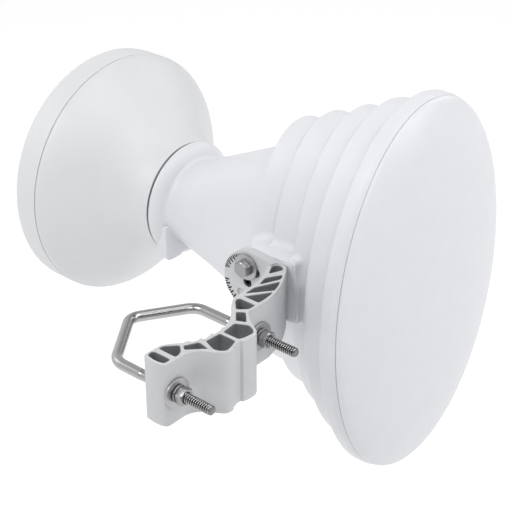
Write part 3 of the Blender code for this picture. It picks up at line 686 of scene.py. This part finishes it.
def rings(loop, rows):
    """Rings of a loop: rows give (height, outward distance); out come (u, v, height)."""
    outward = loop_normals(loop)
    heights = np.array([h for h, _ in rows])[:, None, None]
    moves = np.array([m for _, m in rows])[:, None, None]
    flat = loop[None] + outward[None] * moves
    return np.concatenate([flat, np.broadcast_to(heights, (*flat.shape[:2], 1))], axis=2)


def cell_grid(loop, start, sign, depth, edge, floor):
    """Rings of one sunken cell, from its flared rim down to the edge of its floor.

    Rim: outward distance = edge (1 - sin q). Below it the loop shrinks about its middle, by 1.5
    per cent down the wall and 7 more round the floor's fillet, so that it leaves its mould.
    """
    q = np.radians(np.linspace(0, 90, 5))
    rows = [(start + sign * edge * (1 - np.cos(a)), edge * (1 - np.sin(a))) for a in q]
    middle = loop.mean(axis=0)
    wall = [(share * (depth - floor), 1 - 0.015 * share) for share in (0.04, 0.08, 0.2, 0.4)]
    foot = [(depth - floor * (1 - np.sin(a)), 0.985 - 0.07 * (1 - np.cos(a))) for a in q]
    sunk = [
        np.column_stack([
            middle + (loop - middle) * scale, np.full(len(loop), start + sign * down)
        ])
        for down, scale in wall + foot
    ]
    return np.concatenate([rings(loop, rows), sunk])


def slab(outer, through, cells, low, high, edge, depth, floor=CELL_FLOOR, low_edge=None):
    """Points and faces of a slab with rounded rims, through holes and sunken cells.

    Rim: outward distance = -edge (1 - sin q), height = end -+ edge (1 - cos q).
    """
    soft = low_edge or edge
    q = np.radians(np.linspace(0, 90, 5))
    rim = [(high - edge * (1 - np.cos(a)), -edge * (1 - np.sin(a))) for a in q]
    base = [(low + soft * (1 - np.cos(a)), -soft * (1 - np.sin(a))) for a in q[::-1]]
    grids = [rings(outer, rim + base)]
    grids += [rings(loop, [(h, -m) for h, m in rim + base]) for loop in through]
    top_loops = [grid[0] for grid in grids]
    low_loops = [grid[-1] for grid in grids]
    floors = []
    for loop, sides in cells:
        for side in sides:
            start, loops = (high, top_loops) if side > 0 else (low, low_loops)
            grids.append(cell_grid(loop, start, -side, depth, edge, floor))
            loops.append(grids[-1][0])
            floors.append([grids[-1][-1]])
    points, faces, total = [], [], 0
    for grid in grids:
        points.append(grid.reshape(-1, 3))
        faces += (grid_faces(*grid.shape[:2]) + total).tolist()
        total += len(points[-1])
    for loops in (top_loops, low_loops, *floors):
        points.append(np.concatenate(loops))
        faces += cap([loop[:, :2] for loop in loops], total)
        total += len(points[-1])
    return np.concatenate(points), faces


# %% [markdown]
# The outline is the clamp's plan in millimetres: a hollow seat with saw teeth that bite the
# mast, a straight pad for each leg of the bolt, a fluted block in front, and the arm that bends
# away to the scale plate. Each row is x, y and how far the corner's rounding reaches.

# %% Plan of the clamp
SEAT_LEFT = [
    (-1.4, -3.2, 0.3), (-3.6, -4.2, 0.8), (-2.4, -9, 1), (-1.9, -13, 0.3), (-5.2, -14.5, 0.8),
    (-4.7, -18.3, 1), (-6.4, -21.8, 0.3), (-10, -23.4, 0.8), (-10.8, -28, 1), (-15.2, -32.4, 2),
    (-20.4, -39.5, 3),
]
FREE_END = [
    (-20.9, -56, 1.5), (-19.3, -58.4, 2), (-11, -59.6, 4), (-4, -59, 3), (-0.4, -57.6, 1),
    (1, -55.5, 1), (1, -37, 3), (2.6, -32.3, 3), (6.5, -27, 3), (13, -22.8, 3),
    (19.3, -19.3, 2), (22.4, -16.5, 2),
]
BLOCK = [
    (23, -13, 1.2), (22.7, -9.8, 0.3), (20.8, -8.6, 0.3), (20.4, -5.2, 0.3), (19.3, -3.6, 0.3),
    (19.3, 1.4, 0.3), (21.4, 2.8, 0.3), (22.4, 8, 1.5), (22.6, 14.5, 2), (20.8, 18.8, 2.2),
    (15.4, 22.8, 2.5),
]
ARM_OUT = [
    (9, 26.3, 3), (4, 29.8, 2), (0.4, 33, 2), (-1.9, 34.6, 1.5), (-2.8, 36.6, 2), (-2.8, 60, 4),
    (-4.2, 66, 4), (-7, 76.5, 4), (-11, 86.8, 4), (-16.6, 96.3, 4), (-21.6, 104.2, 3),
    (-25.2, 108.4, 0.5),
]
ARM_IN = [
    (-41, 108.4, 0), (-41, 101, 0), (-38.4, 100.8, 0), (-35.8, 97, 2), (-32, 90, 4),
    (-28.3, 79.5, 4), (-26.2, 68, 4), (-25.3, 58, 4), (-25.3, 46.5, 3), (-24, 42.3, 2),
    (-18.9, 35, 3),
]
SEAT_RIGHT = [
    (-13.6, 28.6, 2), (-10.2, 25, 2), (-7.4, 20.8, 2), (-5, 16.2, 2), (-3.5, 12, 1),
    (-2, 9.2, 0.8), (-3, 6.4, 0.5), (-1.4, 3.6, 0.5),
]
CELLS = [
    [(-19, -55), (-19.5, -50), (-17.5, -48.8), (-3.5, -48.8), (-2, -49.5), (-2, -55),
     (-5, -56.3), (-11, -56.8), (-16, -56)],
    [(-18.8, -44.2), (-18.6, -40), (-11, -31.8), (-9, -31.6), (-4, -36.5), (-2, -40.5),
     (-1.8, -43.6), (-3, -44.2)],
    [(-7.8, -29.7), (-2.5, -19.5), (-1.2, -19), (8, -20.8), (8.3, -21.6), (5.5, -24),
     (-3, -32.8), (-4.3, -32.5)],
    [(0.3, -14.6), (1.2, -1), (2.2, -0.3), (15.5, -0.3), (17, -1), (19.5, -9), (20.3, -13.5),
     (19.5, -15.5), (16, -18.2), (13, -19), (10.5, -18.6)],
    [(1.8, 3), (0.2, 15), (0.2, 17.3), (2, 18.3), (9.5, 22), (11.5, 21.8), (16, 19.8),
     (18.6, 17.2), (19.4, 14.5), (18.6, 8), (17.4, 4), (16, 2.8), (3, 2.8)],
    [(-1.6, 20.6), (-9.2, 29.4), (-9.3, 30.6), (-5.2, 33.8), (-3.4, 33.8), (-0.6, 31), (5, 25),
     (5.2, 23.9)],
    [(-12.8, 33.4), (-20.6, 41.4), (-21.6, 43.4), (-21.4, 45.8), (-20, 46.9), (-6, 46.9),
     (-5, 46), (-5, 39.8), (-6.3, 38), (-11.2, 33.6)],
    [(-21, 51.2), (-19.8, 52.2), (-8.3, 69.5), (-7.4, 70), (-6.3, 66), (-5.5, 58), (-5.5, 51.9),
     (-6.2, 51.2)],
    [(-22.4, 55), (-22.9, 57), (-22.9, 66.5), (-22.2, 68.2), (-14.2, 85.3), (-13, 85.8),
     (-10.3, 79.5), (-8.4, 73.5), (-8.9, 72)],
    [(-23.2, 73.2), (-24.6, 77), (-26, 82.5), (-25.6, 84.6), (-19.4, 95.2), (-18, 95),
     (-15.9, 90.3), (-15.9, 88.4), (-22.3, 73.6)],
    [(-28.3, 90.2), (-31, 94.8), (-33.9, 100.3), (-33.9, 102.6), (-32.2, 105), (-29.2, 105.9),
     (-26.4, 104.8), (-24, 102.4), (-23.8, 101), (-26.7, 94)],
]
CELL_DEPTH = 19
CAST_EDGE = 0.5
CAST_SHARP = 35
plan = np.array(SEAT_LEFT + FREE_END + BLOCK + ARM_OUT + ARM_IN + SEAT_RIGHT)
plan_loop = even_loop(plan[:, :2], plan[:, 2], 1000)
cell_loops = [even_loop(np.array(cell), 1.1, 72) for cell in CELLS]
sunken = [(cell, (1, -1)) for cell in cell_loops[:-1]]
points, faces = slab(plan_loop, [], sunken, CLAMP_BOTTOM, CLAMP_TOP, CAST_EDGE, CELL_DEPTH)
casting = mesh_piece(
    "clamp_casting", points * MM, faces, POWDER_COAT, "mast_clamp", CAST_SHARP
)

# %% [markdown]
# The scale plate stands square to the arm and is cast in one with it. It is a disc with a slot
# for the lock bolt, a hole for the pivot pin and a shallow round recess. The arm's last cell
# reaches into the joint, so it is cut after the two are one, and each leg of the bolt gets its
# round hole in the same way.

# %% Scale plate
PIVOT = np.array(SWIVEL)
PIVOT_HOLE = 4.3
ROD_HOLE = 4.6
LOCK_RADIUS = 14.9
LOCK_ANGLE = math.radians(90.8)
SLOT_HALF = 4.5
PLATE_MIDDLE = np.array((-57.0, 3.3))
PLATE_RADIUS = 28.2


def slot_loop(start, end):
    """Two arcs about the pivot, SLOT_HALF apart from the lock bolt's path, and round ends."""
    tips = arc_points(PIVOT, LOCK_RADIUS, start, end, 2)
    return np.vstack([
        arc_points(PIVOT, LOCK_RADIUS + SLOT_HALF, start, end, 24),
        arc_points(tips[1], SLOT_HALF, end, end + 180, 10)[1:-1],
        arc_points(PIVOT, LOCK_RADIUS - SLOT_HALF, end, start, 24),
        arc_points(tips[0], SLOT_HALF, start + 180, start + 360, 10)[1:-1],
    ])


def carve(piece, cutter, operation):
    """One exact Boolean of the piece with another object, which is then thrown away."""
    step = piece.modifiers.new("carve", "BOOLEAN")
    step.solver = "EXACT"
    step.object = cutter
    step.operation = operation
    view = bpy.context.evaluated_depsgraph_get()
    result = bpy.data.meshes.new_from_object(piece.evaluated_get(view))
    piece.modifiers.remove(step)
    bpy.data.objects.remove(cutter)
    piece.data = result
    result.validate(clean_customdata=False)  # drops faces doubled where undersides meet
    result.shade_smooth()
    result.set_sharp_from_angle(angle=math.radians(CAST_SHARP))


def plug(grid):
    """A closed object whose skin is a grid of rings in millimetres, to carve with."""
    rows, count = grid.shape[:2]
    faces = grid_faces(rows, count).tolist()
    faces += [list(range(count)), list(range((rows - 1) * count, rows * count))]
    return closed_object("carving_tool", grid.reshape(-1, 3) * MM, faces)


disc = np.vstack([
    [(-40, CLAMP_BOTTOM), (-34, CLAMP_BOTTOM), (-26.5, CLAMP_TOP - 0.3), (-40, 30)],
    arc_points(PLATE_MIDDLE, PLATE_RADIUS, 84, 245, 60),
])
recess = arc_points((-67, -9.9), 4.0, 0, 352.5, 48)
through = [slot_loop(54.5, 124.5), arc_points(PIVOT, PIVOT_HOLE, 0, 354.4, 64)]
points, faces = slab(
    even_loop(disc, 0.6, 300), through, [(recess, (1,))],
    -PLATE_BACK_Y / MM, -PLATE_FRONT_Y / MM, CAST_EDGE, 1.5, floor=0.3, low_edge=0.7,
)
points = np.stack([points[:, 0], -points[:, 2], points[:, 1]], axis=1) * MM
carve(casting, closed_object("plate_block", points, faces), "UNION")
for side, start in ((1, CLAMP_TOP), (-1, CLAMP_BOTTOM)):
    grid = cell_grid(cell_loops[-1], start, -side, CELL_DEPTH, CAST_EDGE, CELL_FLOOR)
    carve(casting, plug(np.concatenate([grid[:1] + (0, 0, 5 * side), grid])), "DIFFERENCE")
for leg_y in (-LEG_Y / MM, LEG_Y / MM):
    circle = arc_points((leg_y, 0), ROD_HOLE, 0, 352.5, 48)
    hole = np.stack([np.column_stack([np.full(48, x), circle]) for x in (15, -40)])
    carve(casting, plug(hole), "DIFFERENCE")

# %% [markdown]
# Shade falls deep in the cells, and here it is painted into the colour. Every point of the
# casting gets a painted-shade value that rises from 0 at a cell's rim to 1 a little below it
# and eases off towards the floor; the powder coat's colour goes by it towards a dark grey.

# %% Painted shade in the cells
def point_places(piece):
    """The points of a piece as three rows, x, y and z, in mm."""
    places = np.empty(len(piece.data.vertices) * 3)
    piece.data.vertices.foreach_get("co", places)
    return places.reshape(-1, 3).T / MM


def keep_painted_shade(piece, painted_shade):
    """Stores one painted-shade value for each point, under the name that the paint reads."""
    piece.data.attributes.new("painted_shade", "FLOAT", "POINT").data.foreach_set("value", painted_shade)


def inside(loop, x, y):
    """Which points lie in a closed loop: a ray along x crosses its edge an odd many times."""
    odd = np.zeros(len(x), bool)
    for (x0, y0), (x1, y1) in zip(loop, np.roll(loop, -1, axis=0)):
        odd ^= ((y0 > y) != (y1 > y)) & (x < x0 + (y - y0) * (x1 - x0) / (y1 - y0 + 1e-12))
    return odd


x, y, z = point_places(casting)
in_cell = np.any([inside(loop, x, y) for loop in cell_loops], axis=0)
below_rim = np.minimum(CLAMP_TOP - z, z - CLAMP_BOTTOM)
painted_shade = np.clip(below_rim / 1.2, 0, 1) * (1 - 0.4 * np.clip((below_rim - 6) / 12, 0, 1))
keep_painted_shade(casting, np.where(in_cell, painted_shade, 0))
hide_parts("clamp_bracket")
print("casting:", len(casting.data.polygons), "faces after carving")

# %% [markdown]
# Round the plate's edge are plain printed ticks, five degrees apart and alternately long and
# short, by which the tilt is read. Pad printing leaves a skin of ink, so each tick is a thin
# bar that stands a few hundredths of a millimetre proud.

# %% Printed ticks
TICK_HALF_WIDTH = 0.75
TICK_END = 25.2
LONG_START, SHORT_START = 20.4, 22.6
INK_FRONT, INK_BACK = -0.06, 0.02
angles = np.radians(np.append(np.arange(99, 169, 5), np.arange(192, 262, 5)))
count = len(angles)
is_long = np.arange(count) % 2 == 0
inner = np.where(is_long, LONG_START, SHORT_START)
outer = np.full(count, TICK_END)
length = np.stack([inner, inner, outer, outer], axis=1)
half_width = np.where(is_long, TICK_HALF_WIDTH, 0.7 * TICK_HALF_WIDTH)[:, None]
spread = angles[:, None] + np.array((-1, 1, 1, -1)) * half_width / length
x = PIVOT[0] + length * np.cos(spread)
z = PIVOT[1] + length * np.sin(spread)
front = np.stack([x, np.full_like(x, PLATE_FRONT_Y / MM + INK_FRONT), z], axis=-1)
back = np.stack([x, np.full_like(x, PLATE_FRONT_Y / MM + INK_BACK), z], axis=-1)
points = np.concatenate([front, back], axis=1).reshape(-1, 3) * MM
box = np.array([
    (0, 1, 2, 3), (4, 7, 6, 5), (0, 4, 5, 1), (1, 5, 6, 2), (2, 6, 7, 3), (3, 7, 4, 0),
])
faces = (np.arange(count)[:, None, None] * 8 + box[None]).reshape(-1, 4)
mesh_piece("scale_ticks", points, faces, PLATE_INK, "mast_clamp")

# %% [markdown]
# ## V-bolt
# The V-bolt is one M8 rod, bent three times and threaded on both legs. The bright part is a
# plain tube along its path, a little thicker than the thread. On the threads the radius is
# 4 mm less a triangle wave that climbs one pitch in each turn. A real M8 thread climbs
# 1.25 mm in each turn, which is too fine to show here, so it is drawn with 2 mm.

# %% V-bolt rod
PITCH = 2.0
THREAD_DEPTH = 0.8
THREAD_RADIUS = 4.0
THREAD_STOP = -14.0
SHANK_RADIUS = 4.4
SHANK_START = -31.0
LEG = LEG_Y / MM
LEG_ENDS = (37.0, 34.5)


def bolt_centre_line():
    """The path in mm, with fine steps where the legs carry threads."""
    near, far = (
        np.column_stack(np.broadcast_arrays(np.arange(end, THREAD_STOP, -PITCH / 8), y))
        for end, y in zip(LEG_ENDS, (-LEG, LEG))
    )
    bends = rounded(
        [(THREAD_STOP, -LEG), (-29, -LEG), (-33, -LEG), (-61, -LEG), (-96.5, 2), (-67.3, LEG),
         (-33, LEG), (-29, LEG), (THREAD_STOP, LEG)],
        [0, 0.5, 0.5, 9, 9, 9, 0.5, 0.5, 0], steps=14,
    )
    path = np.vstack([near, bends, far[::-1]])
    path = path[np.append(True, np.linalg.norm(np.diff(path, axis=0), axis=1) > 1e-6)]
    return np.column_stack([path, np.zeros(len(path))])


path = bolt_centre_line()
tangent = np.gradient(path, axis=0)
tangent /= np.linalg.norm(tangent, axis=1, keepdims=True)
upward = np.broadcast_to(np.array((0.0, 0.0, 1.0)), path.shape)
side = np.cross(upward, tangent)
turn = np.linspace(0, 2 * np.pi, 40, endpoint=False)
cycle = np.mod(path[:, 0, None] / PITCH - turn[None, :] / (2 * np.pi), 1)
wave = np.clip(1.25 - np.abs(2 * cycle - 1) * 1.5, 0, 1)
run_out = np.clip((path[:, 0] - THREAD_STOP - 1) / 4, 0, 1)[:, None]
leg_end = np.where(path[:, 1] < 0, *LEG_ENDS)
tip = np.clip((leg_end - path[:, 0]) / 1.3, 0, 1)[:, None]
swell = np.clip((SHANK_START - path[:, 0]) / 2, 0, 1)[:, None]
radius = THREAD_RADIUS + (SHANK_RADIUS - THREAD_RADIUS) * swell
radius = radius - THREAD_DEPTH * run_out * (1 - wave)
radius = np.minimum(radius, SHANK_RADIUS - 1.4 * (1 - tip))
round_path = side[:, None, :] * np.cos(turn)[None, :, None]
round_path = round_path + upward[:, None, :] * np.sin(turn)[None, :, None]
rod_points = path[:, None, :] + round_path * radius[:, :, None]
ends = [np.repeat(path[k][None, None], 40, axis=1) for k in (0, -1)]
rod_points = np.concatenate([ends[0], rod_points, ends[1]]) * MM
v_bolt = surface("v_bolt_rod", rod_points, ROD_STEEL, "v_bolt_body", sharp=60)
# Painted shade in the thread grooves: the value rises from 0 just under the crest to 1 at 0.65
# mm down, and is halved beyond x = 34 mm, at the legs' tips.
x, y, z = point_places(v_bolt)
from_leg = np.hypot(np.abs(y) - LEG, z)
on_thread = (x > THREAD_STOP) & (np.abs(y) > LEG - 5)
painted_shade = np.where(on_thread, np.clip((THREAD_RADIUS - 0.05 - from_leg) / 0.6, 0, 1), 0)
painted_shade[x > 34] *= 0.5
keep_painted_shade(v_bolt, painted_shade)
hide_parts("v_bolt")

# %% [markdown]
# ## Nuts, washers and the lock bolt
# A hexagon bar, cut by a 30 degree cone at its ends, is what gives a nut its curved chamfers:
# at each height the outline is the smaller of the hexagon's radius, a / cos(angle from the
# middle of a flat), and the cone's radius.

# %% Hexagons
BORE = 4.3
ACROSS_FLATS = 13.0


def hexagon_piece(name, centre, axis, rows, paint, body, start, loop):
    """Rows of (height, cone radius) in mm: radius = min(half the flats / cos a, cone)."""
    turn = np.linspace(0, 2 * np.pi, 96, endpoint=False)
    from_flat = np.mod(turn - math.radians(start) + np.pi / 6, np.pi / 3) - np.pi / 6
    rows = np.asarray(rows, float)
    radius = np.minimum(ACROSS_FLATS / 2 / np.cos(from_flat)[None, :], rows[:, 1, None])
    axis = np.array(axis, float)
    points = axis * rows[:, 0, None, None] + spokes(axis, turn) * radius[:, :, None]
    points = points * MM + np.array(centre)
    return surface(name, points, paint, body, along=loop, sharp=28)


def washer_profile(start, outer):
    """Closed (along, radius) profile of a 2 mm washer with softened edges, in metres."""
    end = start + 2
    corners = [(start, BORE), (start, outer), (end, outer), (end, BORE)]
    return rounded(corners, 0.25, steps=4, loop=True) * MM


def spring_washer(name, centre, start):
    """A split ring: a rounded section carried round 346 degrees, with a slight rise."""
    section = [(-0.85, BORE), (-0.85, 7.1), (0.85, 7.1), (0.85, BORE)]
    section = rounded(section, 0.3, 4, loop=True)
    turn = np.radians(np.linspace(40, 386, 80))
    rise = (turn - turn.mean()) / (2 * np.pi) * 0.25
    along = start + 1.0 + section[None, :, 0] + rise[:, None]
    radial = np.broadcast_to(section[None, :, 1], along.shape)
    points = np.stack(
        [along, radial * np.sin(turn)[:, None], radial * np.cos(turn)[:, None]], axis=-1
    )
    middles = points.mean(axis=1, keepdims=True)
    first, last = (np.repeat(middles[k][None], points.shape[1], axis=1) for k in (0, -1))
    points = np.concatenate([first, points, last]) * MM + np.array(centre)
    return surface(name, points, BOLT_STEEL, "mast_clamp")


NUT_ROWS = [
    (5.9, BORE), (5.9, 6.3), (6.65, 7.55), (11.65, 7.55), (12.4, 6.3), (12.4, 4.9),
    (11.9, BORE),
]
for number, pad_x, leg_y, flat_angle in ((1, 0, -LEG_Y, 38), (2, -3.8 * MM, LEG_Y, 32)):
    centre = (pad_x, leg_y, 0)
    flat_washer = spun(
        f"flat_washer_{number}", washer_profile(1.3, 12), centre,
        (1, 0, 0), WASHER_STEEL, "mast_clamp", "steel", sides=96,
    )
    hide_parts(f"leg_washer_{number}")
    split_ring = spring_washer(f"spring_washer_{number}", centre, 3.6)
    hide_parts(f"leg_spring_washer_{number}")
    nut = hexagon_piece(
        f"hex_nut_{number}", centre, (1, 0, 0), NUT_ROWS, BOLT_STEEL, "mast_clamp",
        start=flat_angle, loop=True,
    )
    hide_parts(f"leg_nut_{number}")

# %% Lock bolt and its washer
lock_centre = (
    (PIVOT[0] + LOCK_RADIUS * math.cos(LOCK_ANGLE)) * MM, 0,
    (PIVOT[1] + LOCK_RADIUS * math.sin(LOCK_ANGLE)) * MM,
)
lock_washer = spun(
    "wide_lock_washer", washer_profile(98.2, 11.3), lock_centre,
    (0, 1, 0), WASHER_STEEL, "horn", "steel", sides=96,
)
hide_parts("lock_washer")
HEAD_ROWS = [
    (91.7, 0), (91.7, 6.2), (92.5, 7.55), (97.9, 7.55), (97.9, 4.0), (118.0, 4.0),
    (118.8, 3.2), (118.8, 0),
]
lock_bolt = hexagon_piece(
    "lock_bolt_head", lock_centre, (0, 1, 0), HEAD_ROWS, BOLT_STEEL, "horn",
    start=30, loop=False,
)
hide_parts("lock_bolt")

# %% [markdown]
# The locking tab is a small moulded flange below the collar. It keeps the housing from
# turning out of its port, and it is the only thing there that isn't round.

# %% Locking tab
TAB_LOW = -45.5
TAB_STEP = TAB_LOW + 2.5
tab_corners = [
    (-8, -10), (-8, TAB_STEP), (-23, TAB_STEP), (-26, TAB_LOW), (TAB_LOW, TAB_LOW),
    (TAB_LOW, -10),
]
tab_loop = even_loop(np.array(tab_corners), [0.5, 1, 1.5, 1.5, 8, 1], 160)
points, faces = slab(tab_loop, [], [], low=-258.0, high=-246.2, edge=0.8, depth=0)
points = np.stack([points[:, 2], points[:, 0], points[:, 1]], axis=1) * MM + np.array(ON_AXIS)
tab = mesh_piece("collar_tab", points, faces, ASA_SHELL, "horn", 35)
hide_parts("locking_tab")

# %% Carried-over pieces
DARK_STEEL = steel("blackened_steel", "#3A3A3C", "#2E2E30", 0.4, NO_LINES, 0.1)
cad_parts["pivot_pin"].material_slots[0].material = DARK_STEEL
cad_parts["lug_insert"].material_slots[0].material = INSERT_BRASS
print("carried over: pivot_pin, lug_insert")
